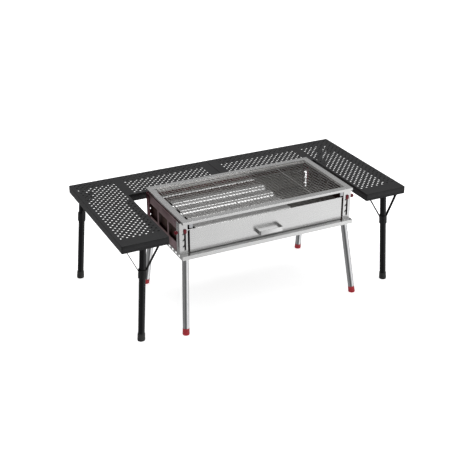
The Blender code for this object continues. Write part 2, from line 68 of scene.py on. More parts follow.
# %% [markdown]
# The shapes are written with `bmesh`, Blender's tool for editing meshes in code. `Vector` and `Matrix` do
# the sums about places and directions. Nothing else is needed.

# %% Tools
import json
import math

import bmesh
import bpy
from mathutils import Matrix, Vector

NODES = frame["nodes"]
BODIES = frame["bodies"]
CORNERS = {"front_left": (-1, -1), "front_right": (1, -1), "back_left": (-1, 1), "back_right": (1, 1)}
SIDES = {"left": -1, "right": 1}

# %% [markdown]
# ## The camera
#
# The set is seen from the front left and from above, with a long lens so that the table's edges stay nearly
# parallel. A camera in Blender looks down its own -Z axis. Tipping it by a right angle less the downward
# pitch and then turning it about Z aims it without any target object.

# %% Camera
camera_data = bpy.data.cameras.new("studio_camera")
camera_data.lens = 72.72
camera_data.sensor_width = 36.0
camera_data.clip_end = 200.0
camera = bpy.data.objects.new("studio_camera", camera_data)
camera.location = (-1.566, -3.13368, 1.9253)
camera.rotation_euler = (math.pi / 2 - 0.46, 0.0, -0.46163)
bpy.context.scene.collection.objects.link(camera)
bpy.context.scene.camera = camera

# %% [markdown]
# ## The studio
#
# Product pictures are often taken on a white sweep, a floor so bright that it has no edge and hardly any
# shadow. A wide plane does it here. It gives off a little light of its own, as an overlit sweep seems to.
# It is left out of mirror reflections, because polished steel would otherwise see nothing but white and
# lose its shape. The room's colour below, which is set by direction, is what the steel sees in its place.

# %% Floor
floor_mesh = bpy.data.meshes.new("sweep")
floor_mesh.from_pydata([(-60, -60, 0), (60, -60, 0), (60, 60, 0), (-60, 60, 0)], [], [(0, 1, 2, 3)])
floor = bpy.data.objects.new("sweep", floor_mesh)
floor.location.z = -0.0005
floor.visible_glossy = False
bpy.context.scene.collection.objects.link(floor)

floor_paper = bpy.data.materials.new("white_paper")
floor_paper.use_nodes = True
paper_shader = floor_paper.node_tree.nodes["Principled BSDF"]
paper_shader.inputs["Base Color"].default_value = (0.90, 0.90, 0.90, 1.0)
paper_shader.inputs["Roughness"].default_value = 0.9
paper_shader.inputs["Emission Color"].default_value = (1.0, 1.0, 1.0, 1.0)
paper_shader.inputs["Emission Strength"].default_value = 0.72
floor_mesh.materials.append(floor_paper)
print("floor laid at", floor.location.z)

# %% [markdown]
# The room around the set is a gradient. Below the horizon it changes round the compass: bright to the right
# of the lens, dark behind the lens, grey to the left. A round tube gathers that whole sweep across its
# width, which is what draws the dark line down the middle of a polished leg. Above the horizon it is an
# even pale grey.
#
# `Generated` coordinates on a world are simply directions, so the angle round the compass is an arctangent
# of two of them.

# %% Room
room = bpy.data.worlds.new("studio_room")
room.use_nodes = True
bpy.context.scene.world = room
room_nodes, room_links = room.node_tree.nodes, room.node_tree.links


def room_sum(operation, *inputs):
    """One arithmetic node; numbers are typed in and sockets are wired."""
    node = room_nodes.new("ShaderNodeMath")
    node.operation = operation
    for place, value in enumerate(inputs):
        if isinstance(value, (int, float)):
            node.inputs[place].default_value = value
        else:
            room_links.new(value, node.inputs[place])
    return node.outputs[0]


def room_ramp(factor, stops):
    """A gradient of greys, each stop a position from 0 to 1 and a brightness."""
    node = room_nodes.new("ShaderNodeValToRGB")
    room_links.new(factor, node.inputs["Fac"])
    band = node.color_ramp
    while len(band.elements) < len(stops):
        band.elements.new(0.5)
    for element, (place, grey) in zip(band.elements, stops):
        element.position = place
        element.color = (grey, grey, grey, 1.0)
    return node.outputs["Color"]


directions = room_nodes.new("ShaderNodeTexCoord")
split = room_nodes.new("ShaderNodeSeparateXYZ")
room_links.new(directions.outputs["Generated"], split.inputs[0])
compass = room_sum("ARCTAN2", split.outputs["X"], room_sum("MULTIPLY", split.outputs["Y"], -1.0))
turn = room_sum("ADD", room_sum("DIVIDE", compass, 2 * math.pi), 0.5)
low_room = room_ramp(
    turn,
    [
        (0.00, 0.30),
        (0.12, 0.27),
        (0.25, 0.24),
        (0.35, 0.18),
        (0.405, 0.09),
        (0.445, 0.09),
        (0.50, 0.32),
        (0.545, 0.55),
        (0.60, 1.00),
        (0.66, 0.95),
        (0.74, 0.55),
        (1.00, 0.30),
    ],
)
height = room_sum("ADD", room_sum("MULTIPLY", split.outputs["Z"], 0.5), 0.5)
high_room = room_ramp(height, [(0.50, 0.52), (0.66, 0.30), (0.76, 0.34), (0.86, 0.62), (1.0, 0.80)])
upward = room_sum("MULTIPLY_ADD", split.outputs["Z"], 5.0, 0.5)
upward.node.use_clamp = True
blend = room_nodes.new("ShaderNodeMix")
blend.data_type = "RGBA"
room_links.new(upward, blend.inputs["Factor"])
room_links.new(low_room, blend.inputs["A"])
room_links.new(high_room, blend.inputs["B"])
background = room_nodes["Background"]
room_links.new(blend.outputs["Result"], background.inputs["Color"])
background.inputs["Strength"].default_value = 1.0
bpy.context.scene.view_settings.view_transform = "Standard"
print("room uses", len(room_nodes), "nodes")

# %% [markdown]
# Two large soft lights do the rest. One hangs overhead and puts the bright lines on the ridges of the
# charcoal plate. One stands at the right and lifts the steel towards that end. Big lights make soft edges,
# and the area light is the one lamp in Blender with a size that polished metal can mirror.


# %% Lights
def soft_light(name, place, aim, size, watts):
    lamp = bpy.data.lights.new(name, "AREA")
    lamp.shape = "RECTANGLE"
    lamp.size, lamp.size_y = size
    lamp.energy = watts
    holder = bpy.data.objects.new(name, lamp)
    holder.location = place
    holder.rotation_euler = (Vector(aim) - Vector(place)).to_track_quat("-Z", "Y").to_euler()
    bpy.context.scene.collection.objects.link(holder)
    print(name, "at", place, watts, "W")


soft_light("overhead_softbox", (0.3, 0.5, 2.6), (0, 0, 0.4), (2.4, 1.2), 32)
soft_light("right_softbox", (2.6, -1.4, 1.5), (0.2, 0, 0.35), (1.4, 1.6), 14)

# %% [markdown]
# ## Finishes
#
# A finish is a small network of nodes. Nearly all of them here start the same way: coordinates fixed to the
# piece, stretched by a Mapping node, feeding a Noise texture. Stretching the noise a hundred times in one
# direction turns blotches into the fine scratches of brushed steel. The helper below makes that chain, so
# that each finish only says how it is used.


# %% Helpers for finishes
class Finish:
    """A new material with its shader, and short ways to add the nodes that all finishes share."""

    def __init__(self, name, slot):
        self.material = bpy.data.materials.new(name)
        self.material.use_nodes = True
        self.material["slot"] = slot
        self.nodes = self.material.node_tree.nodes
        self.links = self.material.node_tree.links
        self.shader = self.nodes["Principled BSDF"]
        self.place = self.nodes.new("ShaderNodeTexCoord").outputs["Object"]

    def set(self, **values):
        """Type fixed values straight into the shader's sockets; an underscore stands for a space."""
        for key, value in values.items():
            self.shader.inputs[key.replace("_", " ")].default_value = value

    def noise(self, stretch, scale=1.0, detail=4.0, rough=0.6):
        """Noise stretched by three factors, in features per metre."""
        mapping = self.nodes.new("ShaderNodeMapping")
        mapping.inputs["Scale"].default_value = stretch
        self.links.new(self.place, mapping.inputs["Vector"])
        texture = self.nodes.new("ShaderNodeTexNoise")
        texture.inputs["Scale"].default_value = scale
        texture.inputs["Detail"].default_value = detail
        texture.inputs["Roughness"].default_value = rough
        self.links.new(mapping.outputs["Vector"], texture.inputs["Vector"])
        return texture.outputs["Fac"]

    def between(self, factor, low, high, start=0.3, end=0.7):
        """Turn noise into a number between two values."""
        node = self.nodes.new("ShaderNodeMapRange")
        for name, value in (("From Min", start), ("From Max", end), ("To Min", low), ("To Max", high)):
            node.inputs[name].default_value = value
        self.links.new(factor, node.inputs["Value"])
        return node.outputs["Result"]

    def colours(self, factor, stops):
        """Turn noise into colours along a ramp."""
        node = self.nodes.new("ShaderNodeValToRGB")
        band = node.color_ramp
        while len(band.elements) < len(stops):
            band.elements.new(0.5)
        for element, (place, colour) in zip(band.elements, stops):
            element.position = place
            element.color = (*colour, 1.0)
        self.links.new(factor, node.inputs["Fac"])
        return node.outputs["Color"]

    def height(self):
        """The height above the floor of the point being shaded."""
        node = self.nodes.new("ShaderNodeSeparateXYZ")
        self.links.new(self.place, node.inputs[0])
        return node.outputs["Z"]

    def mixed(self, factor, first, second):
        """Blend two colours by a factor."""
        node = self.nodes.new("ShaderNodeMix")
        node.data_type = "RGBA"
        for name, value in (("Factor", factor), ("A", first), ("B", second)):
            self.links.new(value, node.inputs[name])
        return node.outputs["Result"]

    def wire(self, **sockets):
        for key, socket in sockets.items():
            self.links.new(socket, self.shader.inputs[key.replace("_", " ")])

    def bump(self, height, distance, strength=1.0):
        node = self.nodes.new("ShaderNodeBump")
        node.inputs["Strength"].default_value = strength
        node.inputs["Distance"].default_value = distance
        self.links.new(height, node.inputs["Height"])
        self.links.new(node.outputs["Normal"], self.shader.inputs["Normal"])


# %% [markdown]
# ### Brushed stainless steel
#
# The grill's folded sheets are stainless steel with a satin grain that runs the length of each piece. The
# grain shows in three ways: it lightens and darkens the metal a little, it changes how sharply the metal
# mirrors, and it leaves faint ridges. One stretched noise drives all three. A second, broad noise adds the
# cloudy patches that handling leaves.
#
# The grain has to follow the piece, so the same recipe is made three times, along X, Y and Z. The drawer's
# tray is made much darker as painted shade for the shadow it sits in, and the charcoal plate is made a
# little darker as painted shade for the dim reflection it shows under the net.


# %% Brushed steel
def brushed_steel(name, stretch, bright=0.86, dull=0.24):
    steel = Finish(name, "stainless")
    steel.set(Metallic=1.0)
    grain = steel.noise(stretch, 1.0, 5.0, 0.7)
    clouds = steel.noise((9.0, 9.0, 9.0), 1.0, 3.0)
    warm_white = (bright + 0.05, bright + 0.05, bright + 0.04)
    steel.wire(
        Base_Color=steel.mixed(
            steel.between(clouds, 0.25, 0.75),
            steel.colours(grain, [(0.25, (bright - 0.16,) * 3), (0.75, (bright,) * 3)]),
            steel.colours(grain, [(0.25, (bright - 0.10,) * 3), (0.75, warm_white)]),
        ),
        Roughness=steel.between(grain, dull - 0.05, dull + 0.08),
    )
    steel.bump(grain, 0.00002, 0.5)
    return steel.material


STEEL_X = brushed_steel("stainless_grain_x", (6.0, 900.0, 900.0))
STEEL_Y = brushed_steel("stainless_grain_y", (900.0, 6.0, 900.0))
STEEL_Z = brushed_steel("stainless_grain_z", (900.0, 900.0, 6.0))
# The tray's dark base colour is painted shade, standing in for the shadow inside the firebox.
TRAY_SHADED_STEEL = brushed_steel("stainless_tray_painted_shade", (6.0, 900.0, 900.0), bright=0.34, dull=0.34)
# The plate's darker base colour is painted shade, standing in for the dim reflection it shows under the net.
PLATE_SHADED_STEEL = brushed_steel("stainless_plate_painted_shade", (6.0, 900.0, 900.0), bright=0.66, dull=0.20)
print(STEEL_X.name, STEEL_Y.name, STEEL_Z.name, TRAY_SHADED_STEEL.name, PLATE_SHADED_STEEL.name)

# %% [markdown]
# ### Heat-tinted steel
#
# Stainless steel that has held a fire turns straw, brown and then violet as a thin oxide grows on it. The
# walls of the firebox have those colours. They follow the heat, so the colour ramp is driven by broad
# noise, and a fine brushed grain runs under it. The inner liners have the same brown, made far darker than
# the outer walls as painted shade for the shadow behind the windows, and the back posts are a deep
# red-brown.
#
# The back wall has one darker brown band a little below the rim. Close under the rim, and lower down, the
# steel is left clean. Its finish therefore also follows height: the Z coordinate drives a second ramp that
# lets clean steel through above and below the band.

# %% Tinted steel
FADE = 0.010


def heat_tinted(name, pale, straw, brown, dull, band_heights=None):
    """Three colours of oxide along a broad noise, over a fine grain, everywhere or between two heights."""
    steel = Finish(name, "heat_tinted_steel")
    steel.set(Metallic=1.0)
    heat = steel.noise((9.0, 9.0, 20.0), 1.0, 3.0, 0.55)
    scratches = steel.noise((20.0, 20.0, 900.0), 1.0, 4.0, 0.7)
    tint = steel.mixed(
        steel.between(scratches, 0.0, 0.6),
        steel.colours(heat, [(0.34, pale), (0.48, straw), (0.64, brown)]),
        steel.colours(heat, [(0.34, brown), (0.64, straw)]),
    )
    if band_heights:
        clean = steel.colours(scratches, [(0.3, (0.50, 0.49, 0.47)), (0.7, (0.70, 0.68, 0.66))])
        share = steel.between(steel.height(), 0.0, 1.0, band_heights[0] - FADE, band_heights[1] + FADE)
        edge = FADE / (band_heights[1] - band_heights[0] + 2 * FADE)
        white, black = (1.0, 1.0, 1.0), (0.0, 0.0, 0.0)
        stops = [
            (edge * 0.8, white),
            (edge * 1.1, black),
            (1.0 - edge * 1.1, black),
            (1.0 - edge * 0.8, white),
        ]
        tint = steel.mixed(steel.colours(share, stops), tint, clean)
    steel.wire(Base_Color=tint, Roughness=steel.between(scratches, dull, dull + 0.16))
    steel.bump(scratches, 0.00002, 0.5)
    return steel.material


WALL_TINT = heat_tinted(
    "wall_heat_tint", (0.66, 0.48, 0.52), (0.42, 0.29, 0.30), (0.24, 0.12, 0.13), dull=0.30
)
# The liners' brown is heat tint; their great darkness is painted shade for the shadow behind the windows.
LINER_TINT_AND_SHADE = heat_tinted(
    "liner_heat_tint_and_painted_shade", (0.13, 0.08, 0.05), (0.08, 0.035, 0.025), (0.05, 0.015, 0.02), dull=0.40
)
POST_TINT = heat_tinted(
    "post_heat_tint", (0.36, 0.16, 0.19), (0.24, 0.07, 0.09), (0.14, 0.02, 0.035), dull=0.28
)
rim_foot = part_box("top_rim")[0].z
# Heights of the back wall's darker brown band, measured down from the rim's foot.
BACK_BAND = (rim_foot - 0.0260, rim_foot - 0.0115)
BACK_DARK_BAND = heat_tinted(
    "back_dark_band",
    (0.17, 0.105, 0.08),
    (0.12, 0.055, 0.045),
    (0.07, 0.022, 0.022),
    dull=0.34,
    band_heights=BACK_BAND,
)
print(WALL_TINT.name, LINER_TINT_AND_SHADE.name, POST_TINT.name, BACK_DARK_BAND.name)

# %% [markdown]
# ### Polished tube, wire and zinc
#
# The grill's legs are drawn tube, almost a mirror, with fine marks along their length. The cooking net is
# bright wire, softer because each wire is small and handled. The grate in the firebox is the same wire
# after fires: dark, rough and patchy. The small brackets and the hinge are zinc-plated.


# %% Plain metals
def plain_metal(name, slot, dark, light, rough_low, rough_high, stretch, ridge=0.00002):
    metal = Finish(name, slot)
    metal.set(Metallic=1.0)
    marks = metal.noise(stretch, 1.0, 4.0, 0.65)
    metal.wire(
        Base_Color=metal.colours(marks, [(0.3, dark), (0.7, light)]),
        Roughness=metal.between(marks, rough_low, rough_high),
    )
    metal.bump(marks, ridge, 0.5)
    return metal.material


TUBE = plain_metal(
    "polished_tube", "bright_tube", (0.72, 0.73, 0.75), (0.90, 0.90, 0.91), 0.05, 0.13, (300.0, 300.0, 12.0)
)
NET_WIRE = plain_metal(
    "net_wire", "net_steel", (0.30, 0.29, 0.28), (0.52, 0.51, 0.50), 0.24, 0.38, (120.0, 120.0, 120.0)
)
GRATE_WIRE = plain_metal(
    "sooty_wire", "grate_steel", (0.07, 0.065, 0.06), (0.24, 0.23, 0.22), 0.38, 0.60, (160.0, 160.0, 160.0)
)
ZINC = plain_metal(
    "zinc_plate", "zinc", (0.50, 0.51, 0.53), (0.68, 0.69, 0.71), 0.26, 0.42, (140.0, 140.0, 140.0), 0.00004
)
print(TUBE.name, NET_WIRE.name, GRATE_WIRE.name, ZINC.name)

# %% [markdown]
# ### Paint, rubber and plastic
#
# The table is powder-coated. Powder melts into a skin that is nearly black, a little glossy and finely
# pebbled like orange peel, which is the job of a small noise through a Bump node. The foot caps are moulded
# rubber, duller and coarser, and they carry a trace of dust. The knobs and sliding buttons are smooth red
# plastic.


# %% Paint, rubber and plastic
def moulded(name, slot, dark, light, rough_low, rough_high, pebble, depth, gloss=0.5):
    """A non-metal whose colour drifts slowly and whose surface is pebbled at its own size."""
    skin = Finish(name, slot)
    skin.set(Specular_IOR_Level=gloss)
    drift = skin.noise((14.0, 14.0, 14.0), 1.0, 3.0)
    peel = skin.noise((pebble, pebble, pebble), 1.0, 2.0, 0.5)
    skin.wire(
        Base_Color=skin.colours(drift, [(0.3, dark), (0.7, light)]),
        Roughness=skin.between(peel, rough_low, rough_high),
    )
    skin.bump(peel, depth, 0.6)
    return skin.material


POWDER_COAT = moulded(
    "black_powder_coat", "black_paint", (0.007, 0.007, 0.008), (0.012, 0.012, 0.013),
    rough_low=0.34, rough_high=0.52, pebble=900.0, depth=0.00005, gloss=0.28,
)
BLACK_TUBE = moulded(
    "black_tube_paint", "black_tube", (0.004, 0.004, 0.005), (0.008, 0.008, 0.009),
    rough_low=0.26, rough_high=0.40, pebble=1100.0, depth=0.00003, gloss=0.30,
)
BLACK_RUBBER = moulded(
    "black_rubber_cap", "black_rubber", (0.012, 0.012, 0.012), (0.024, 0.024, 0.024),
    rough_low=0.50, rough_high=0.72, pebble=700.0, depth=0.00006,
)
RED_RUBBER = moulded(
    "red_rubber_cap", "red_rubber", (0.30, 0.006, 0.014), (0.44, 0.012, 0.024),
    rough_low=0.34, rough_high=0.52, pebble=700.0, depth=0.00005,
)
RED_PLASTIC = moulded(
    "red_plastic_knob", "red_plastic", (0.09, 0.002, 0.008), (0.16, 0.005, 0.014),
    rough_low=0.16, rough_high=0.28, pebble=900.0, depth=0.00002, gloss=0.4,
)
print(POWDER_COAT.name, BLACK_TUBE.name, BLACK_RUBBER.name, RED_RUBBER.name, RED_PLASTIC.name)

# %% [markdown]
# ## Putting a piece in place
#
# Every piece made here stands for one solid CAD piece. It hides that piece, takes its place on the same
# moving body and names the finish it wears. A CAD piece's parent is its body, so the helper can look the
# body up.


# %% Place a piece
def body_name(node):
    return next(name for name, empty in BODIES.items() if empty is NODES[node].parent)


def stand_for(piece, node, finish):
    """Give a piece its finish, hang it on the body of the CAD piece and hide that one."""
    piece.data.materials.clear()
    piece.data.materials.append(finish)
    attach(piece, body_name(node))
    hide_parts(node)
    return piece


def piece_from(bm, name, smooth_angle=35.0):
    """Turn a bmesh into an object, rounded to the eye wherever two faces meet at less than the angle."""
    mesh = bpy.data.meshes.new(name)
    bmesh.ops.recalc_face_normals(bm, faces=bm.faces)
    bm.to_mesh(mesh)
    bm.free()
    mesh.shade_smooth()
    mesh.set_sharp_from_angle(angle=math.radians(smooth_angle))
    piece = bpy.data.objects.new(name, mesh)
    bpy.context.scene.collection.objects.link(piece)
    return piece


# %% [markdown]
# ## Folded sheet
#
# Sheet steel never has a perfectly sharp edge. Even a small rounding catches a bright line, and that line
# is most of what tells the eye that a shape is metal. The solid pieces are already right in outline, so for
# sheet parts the helper copies the solid, merges its triangles back into whole faces and rolls every sharp
# edge with a Bevel modifier. Drawing each sheet again would add nothing.


# %% Copy a solid and roll its edges
def rolled_copy(node, finish, edge=0.0004, segments=2):
    bm = bmesh.new()
    bm.from_mesh(NODES[node].data)
    corners = [vertex.co.copy() for vertex in bm.verts]
    faces = [[vertex.index for vertex in face.verts] for face in bm.faces]
    bm.free()
    mesh = bpy.data.meshes.new(node + "_fine")
    mesh.from_pydata(corners, [], faces)
    bm = bmesh.new()
    bm.from_mesh(mesh)
    bpy.data.meshes.remove(mesh)
    bmesh.ops.remove_doubles(bm, verts=bm.verts, dist=0.000005)
    bmesh.ops.dissolve_limit(bm, angle_limit=math.radians(1.0), verts=bm.verts, edges=bm.edges)
    piece = piece_from(bm, node + "_fine")
    bevel = piece.modifiers.new("rolled_edge", "BEVEL")
    bevel.width = edge
    bevel.segments = segments
    bevel.limit_method = "ANGLE"
    bevel.angle_limit = math.radians(38)
    bevel.harden_normals = True
    return stand_for(piece, node, finish)


# %% [markdown]
# ### Base, posts and walls
#
# The base is four folded rails. The two long ones are brushed along X and the two short ones along Y. The
# corner posts stand on end, so their grain is vertical. The back posts and the walls have been tinted by
# heat, and each side wall has windows with a plain liner behind them.

# %% Base, posts, walls
for node in ("base_front_rail", "base_back_rail"):
    rolled_copy(node, STEEL_X, 0.0005)
for node in ("base_left_rail", "base_right_rail"):
    rolled_copy(node, STEEL_Y, 0.0005)
for corner, (side, end) in CORNERS.items():
    rolled_copy("corner_post_" + corner, STEEL_Z if end < 0 else POST_TINT, 0.0004)
for node in ("side_panel_left", "side_panel_right"):
    rolled_copy(node, WALL_TINT, 0.0003)
rolled_copy("back_panel", BACK_DARK_BAND, 0.0003)
# Liners: heat-tint brown, darkened as painted shade.
for node in ("side_liner_left", "side_liner_right"):
    rolled_copy(node, LINER_TINT_AND_SHADE, 0.0003)
print("base, posts and walls made")

# %% [markdown]
# ### The rim
#
# One folded bar runs round the top and carries the net on a narrow ledge. Its corners are mitred, so the
# grain changes direction on the mitre line. Two finishes on one mesh show that: each face takes the grain
# of the bar that it belongs to, and a face belongs to an end bar when it lies nearer that end than the long
# side.

# %% Rim
rim_low, rim_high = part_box("top_rim")
rim_middle = (rim_low + rim_high) / 2
rim = rolled_copy("top_rim", STEEL_X, 0.0016, 3)
rim.data.materials.append(STEEL_Y)
for face in rim.data.polygons:
    from_end = (rim_high.x - rim_middle.x) - abs(face.center.x - rim_middle.x)
    from_side = (rim_high.y - rim_middle.y) - abs(face.center.y - rim_middle.y)
    face.material_index = 1 if from_end < from_side else 0
for side in SIDES:
    rolled_copy("rim_bracket_" + side, ZINC, 0.0003)
print("rim is", [round(size, 4) for size in rim_high - rim_low])

# %% [markdown]
# ## Bars, wires and turned pieces
#
# Two helpers make everything round. `add_bar` sweeps a circle along a row of points and adds the result to
# a mesh in progress, which suits wire. `turned` spins a profile about a line, as a lathe does, which suits
# tubes, rods, caps and balls. A profile is a list of pairs: how far along the line, and how far out from
# it.


# %% Sweep and lathe
def add_bar(bm, points, radius, sides=8):
    """Sweep a circle along the points and close both ends."""
    rings = []
    points = [Vector(point) for point in points]
    for index, point in enumerate(points):
        along = (points[min(index + 1, len(points) - 1)] - points[max(index - 1, 0)]).normalized()
        across = along.orthogonal().normalized()
        if rings:
            across = (last_across - along * last_across.dot(along)).normalized()
        last_across = across
        other = along.cross(across)
        ring = []
        for step in range(sides):
            angle = 2 * math.pi * (step + 0.5) / sides
            outward = across * math.cos(angle) + other * math.sin(angle)
            ring.append(bm.verts.new(point + outward * radius))
        rings.append(ring)
    for first, second in zip(rings, rings[1:]):
        for step in range(sides):
            after = (step + 1) % sides
            bm.faces.new((first[step], first[after], second[after], second[step]))
    bm.faces.new(reversed(rings[0]))
    bm.faces.new(rings[-1])


def turned(name, start, end, profile, sides=40, floor=None):
    """Spin a profile about the line from start to end, cut flat at the floor where one is given."""
    start, end = Vector(start), Vector(end)
    along = (end - start).normalized()
    across = along.orthogonal().normalized()
    other = along.cross(across)
    bm = bmesh.new()
    rings = []
    for distance, radius in profile:
        centre = start + along * distance
        if radius == 0:
            rings.append([bm.verts.new(centre)])
            continue
        ring = []
        for step in range(sides):
            angle = 2 * math.pi * step / sides
            outward = across * math.cos(angle) + other * math.sin(angle)
            ring.append(bm.verts.new(centre + outward * radius))
        rings.append(ring)
    for first, second in zip(rings, rings[1:]):
        for step in range(sides):
            after = (step + 1) % sides
            corners = [first[place % len(first)] for place in (step, after)]
            corners += [second[place % len(second)] for place in (after, step)]
            bm.faces.new(dict.fromkeys(corners))
    for ring in (rings[0], rings[-1]):
        if len(ring) > 1:
            bm.faces.new(ring)
    if floor is not None:
        whole = bm.verts[:] + bm.edges[:] + bm.faces[:]
        bmesh.ops.bisect_plane(bm, geom=whole, plane_co=(0, 0, floor), plane_no=(0, 0, 1), clear_inner=True)
        bmesh.ops.holes_fill(bm, edges=bm.edges[:], sides=0)
    return piece_from(bm, name)


def rod_profile(radius, length, face):
    """A plain rod with chamfered ends, whose flat faces are a share of the radius."""
    chamfer = radius * 0.3
    half = [(0, 0), (0, radius * face), (chamfer, radius)]
    return half + [(length - chamfer, radius), (length, radius * face), (length, 0)]


# %% [markdown]
# A slanting tube's box doesn't say where its axis is, but its mesh does. Nearly all of a straight tube's
# points lie in the rings at its two ends, so the average of the lower half and the average of the upper
# half are both on the axis. The point furthest from that line gives the radius.


# %% Measure a tube
def tube_axis(node):
    """(lower end, upper end, radius) of a straight round solid, from the points of its mesh."""
    places = {tuple(round(n, 6) for n in vertex.co) for vertex in NODES[node].data.vertices}
    points = [Vector(place) for place in places]
    middle = (min(point.z for point in points) + max(point.z for point in points)) / 2
    lower = [point for point in points if point.z < middle]
    upper = [point for point in points if point.z >= middle]
    start = sum(lower, Vector()) / len(lower)
    along = (sum(upper, Vector()) / len(upper) - start).normalized()
    reach = [(point - start).dot(along) for point in points]
    radius = max((point - start - along * (point - start).dot(along)).length for point in points)
    return start + along * min(reach), start + along * max(reach), radius


for node in ("grill_leg_front_left", "table_leg_back_right"):
    low_end, high_end, size = tube_axis(node)
    lean = math.degrees((high_end - low_end).angle((0, 0, 1)))
    print(node, "leans", round(lean, 2), "degrees, radius", round(size, 4))

# %% [markdown]
# ### Legs
#
# A leg is a length of tube, so its profile goes up the outside, over a rolled lip and a little way down the
# bore. The grill's legs are polished and the table's are painted.


# %% Legs
def tube_leg(node, finish):
    low_end, high_end, radius = tube_axis(node)
    length = (high_end - low_end).length
    wall, lip, bore = 0.0012, 0.0004, 0.030
    profile = [
        (bore, 0),
        (bore, radius - wall),
        (lip, radius - wall),
        (0, radius - wall * 0.6),
        (0, radius - wall * 0.4),
        (lip, radius),
        (length - lip, radius),
        (length, radius - wall * 0.4),
        (length, radius - wall * 0.6),
        (length - lip, radius - wall),
        (length - bore, radius - wall),
        (length - bore, 0),
    ]
    return stand_for(turned(node + "_fine", low_end, high_end, profile, 48), node, finish)


for corner in CORNERS:
    tube_leg("grill_leg_" + corner, TUBE)
    tube_leg("table_leg_" + corner, BLACK_TUBE)
print("8 legs made")

# %% [markdown]
# ### Foot caps
#
# Each leg stands in a moulded cap. A cap grips the tube with a thin lip, has a couple of moulded rings and
# swells a little at the sole. It is spun about the leg's own leaning axis and then cut flat at the floor,
# which is how a worn cap ends up.


# %% Foot caps
def foot_cap(node, leg_node, finish):
    leg_low, leg_high, leg_radius = tube_axis(leg_node)
    along = (leg_high - leg_low).normalized()
    sole = leg_low - along * (leg_low.z / along.z)
    from_sole = [vertex.co - sole for vertex in NODES[node].data.vertices]
    height = max(point.dot(along) for point in from_sole)
    outer = max((point - along * point.dot(along)).length for point in from_sole)
    inner = leg_radius + 0.0002
    lip = inner + (outer - inner) * 0.55
    ring = height * 0.55
    profile = [
        (-0.004, 0),
        (-0.004, outer * 0.90),
        (0.0012, outer * 0.985),
        (0.0035, outer),
        (0.0062, outer),
        (0.0070, outer * 0.965),
        (0.0078, outer * 0.965),
        (0.0086, outer * 0.99),
        (ring, outer * 0.975),
        (ring + 0.0006, outer * 0.955),
        (ring + 0.0014, outer * 0.955),
        (ring + 0.0020, outer * 0.975),
        (height - 0.0022, outer * 0.965),
        (height - 0.0008, lip),
        (height - 0.0002, inner + 0.0003),
        (height - 0.0006, inner),
        (height - 0.004, inner),
        (height - 0.004, 0),
    ]
    cap = turned(node + "_fine", sole, sole + along, profile, 48, floor=0.0)
    return stand_for(cap, node, finish)


for corner in CORNERS:
    foot_cap("grill_foot_" + corner, "grill_leg_" + corner, RED_RUBBER)
    foot_cap("table_foot_" + corner, "table_leg_" + corner, BLACK_RUBBER)
print("8 foot caps made")

# %% [markdown]
# ### Lifting rods, knobs and buttons
#
# Two thin rods carry the charcoal bed. The front one ends in a red ball outside each wall, with a short
# collar where the rod goes in. In front of each post a red button slides in the zigzag slot. The button is
# a rounded tab, so it is drawn flat, given a rounded outline and crowned towards its middle.


# %% Rods and knobs
def lifting_rod(node):
    low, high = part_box(node)
    radius = (high.z - low.z) / 2
    start = Vector((low.x, (low.y + high.y) / 2, (low.z + high.z) / 2))
    end = Vector((high.x, start.y, start.z))
    profile = rod_profile(radius, (end - start).length, 0.7)
    return stand_for(turned(node + "_fine", start, end, profile, 20), node, STEEL_X)


def ball_knob(node, side):
    """A ball with a collar on the side that faces the firebox."""
    low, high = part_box(node)
    centre = (low + high) / 2
    radius = (high.z - low.z) / 2
    inward = Vector((-side, 0, 0))
    reach = radius * 0.97
    profile = [(-reach, 0)]
    for step in range(1, 15):
        angle = math.pi * step / 17
        profile.append((-reach * math.cos(angle), radius * math.sin(angle)))
    profile += [(reach * 0.88, radius * 0.50), (reach, radius * 0.46), (reach, 0)]
    return stand_for(turned(node + "_fine", centre, centre + inward, profile, 32), node, RED_PLASTIC)


for node in ("lift_rod_front", "lift_rod_back"):
    lifting_rod(node)
for name, side in SIDES.items():
    ball_knob("lift_knob_front_" + name, side)
print("rods and knobs made")


# %% Buttons
TAB_ROUND, TAB_DEPTH, NECK = 0.0042, 0.0038, 0.0028
TAB_CROWN = ((1.0, 1.0), (1.0, 0.35), (0.93, 0.12), (0.78, 0.0), (0.45, 0.0))


def slot_button(node, end):
    """A crowned tab in front of the slot, with a round neck that goes back to the rod."""
    low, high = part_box(node)
    middle_x, radius = (low.x + high.x) / 2, TAB_ROUND
    face_out = low.y if end < 0 else high.y
    top, bottom = high.z, low.z
    half = (high.x - low.x) / 2
    outline = []
    for centre_x, centre_z, first in (
        (half - radius, top - radius, 0),
        (-half + radius, top - radius, 90),
        (-half + radius, bottom + radius, 180),
        (half - radius, bottom + radius, 270),
    ):
        for step in range(7):
            angle = math.radians(first + step * 15)
            x = middle_x + centre_x + radius * math.cos(angle)
            outline.append(Vector((x, 0, centre_z + radius * math.sin(angle))))
    middle = Vector((middle_x, 0, (top + bottom) / 2))
    bm = bmesh.new()
    rings = []
    for scale, share in TAB_CROWN:
        ring = []
        for point in outline:
            place = middle + (point - middle) * scale
            ring.append(bm.verts.new((place.x, face_out - end * (TAB_DEPTH * share), place.z)))
        rings.append(ring)
    for first, second in zip(rings, rings[1:]):
        for step in range(len(outline)):
            after = (step + 1) % len(outline)
            bm.faces.new((first[step], first[after], second[after], second[step]))
    bm.faces.new(rings[0])
    bm.faces.new(rings[-1])
    rod_low, rod_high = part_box("lift_rod_front")
    neck_z = (rod_low.z + rod_high.z) / 2
    neck_end = high.y if end < 0 else low.y
    neck_start = face_out - end * TAB_DEPTH * 0.9
    add_bar(bm, [(middle_x, neck_start, neck_z), (middle_x, neck_end, neck_z)], NECK, 20)
    return stand_for(piece_from(bm, node + "_fine"), node, RED_PLASTIC)


